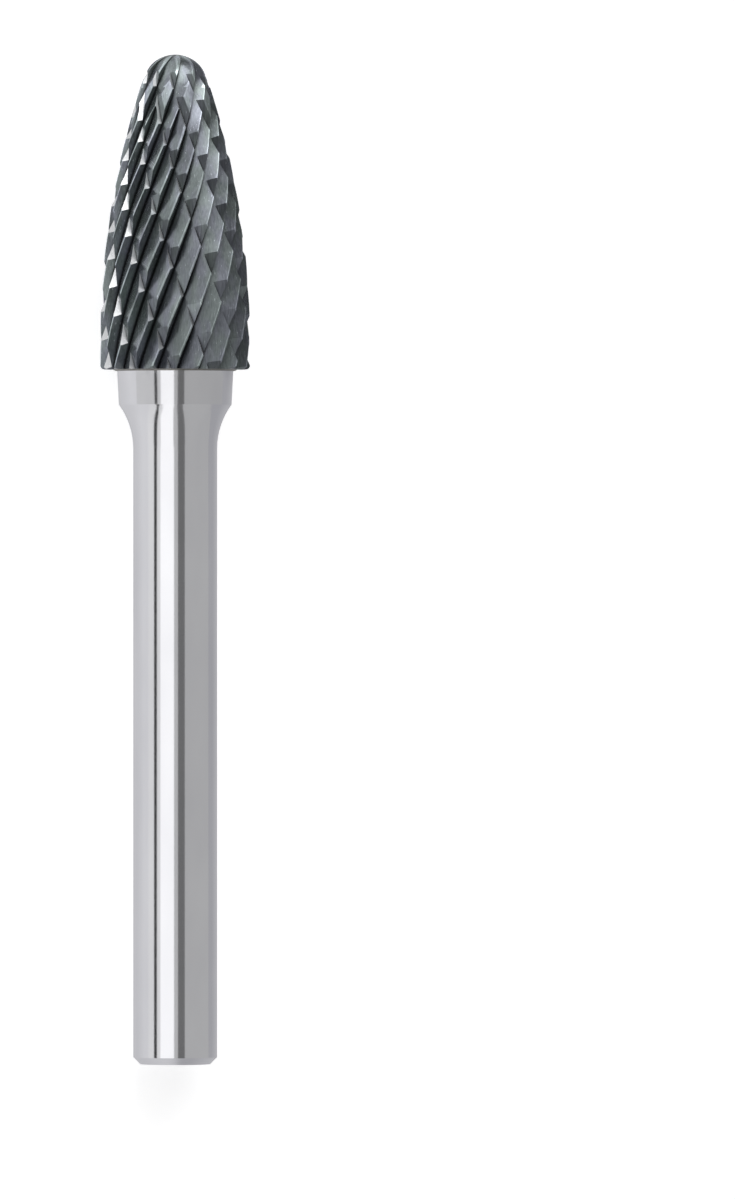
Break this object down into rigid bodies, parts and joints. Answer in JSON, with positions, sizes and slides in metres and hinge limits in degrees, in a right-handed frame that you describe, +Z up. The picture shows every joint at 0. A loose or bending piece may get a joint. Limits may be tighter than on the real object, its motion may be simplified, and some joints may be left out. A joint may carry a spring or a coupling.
{
  "type": "carbide burr",
  "caption": "Double-cut carbide burr with a round-nosed tree head on a plain round shank, for shaping and deburring metal in a die grinder.",
  "frame": {"origin": "centre of the bounding box's bottom face, on the floor the burr lies on", "axes": "+Y along the burr from the shank's free end to the tip, +Z up, +X to the right seen from the shank end; the burr's own axis rises toward the tip because the head is wider than the shank"},
  "size_m": [0.0106, 0.0722, 0.0107],
  "materials": {
    "ground_carbide": "dark grey ground tungsten carbide with fine grinding lines on the tooth faces",
    "steel": "fine ground bright steel",
    "braze": "dull silver braze"
  },
  "bodies": {
    "root": {"cutting_head": "ground_carbide", "shank": "steel", "braze_joint": "braze"}
  },
  "joints": []
}
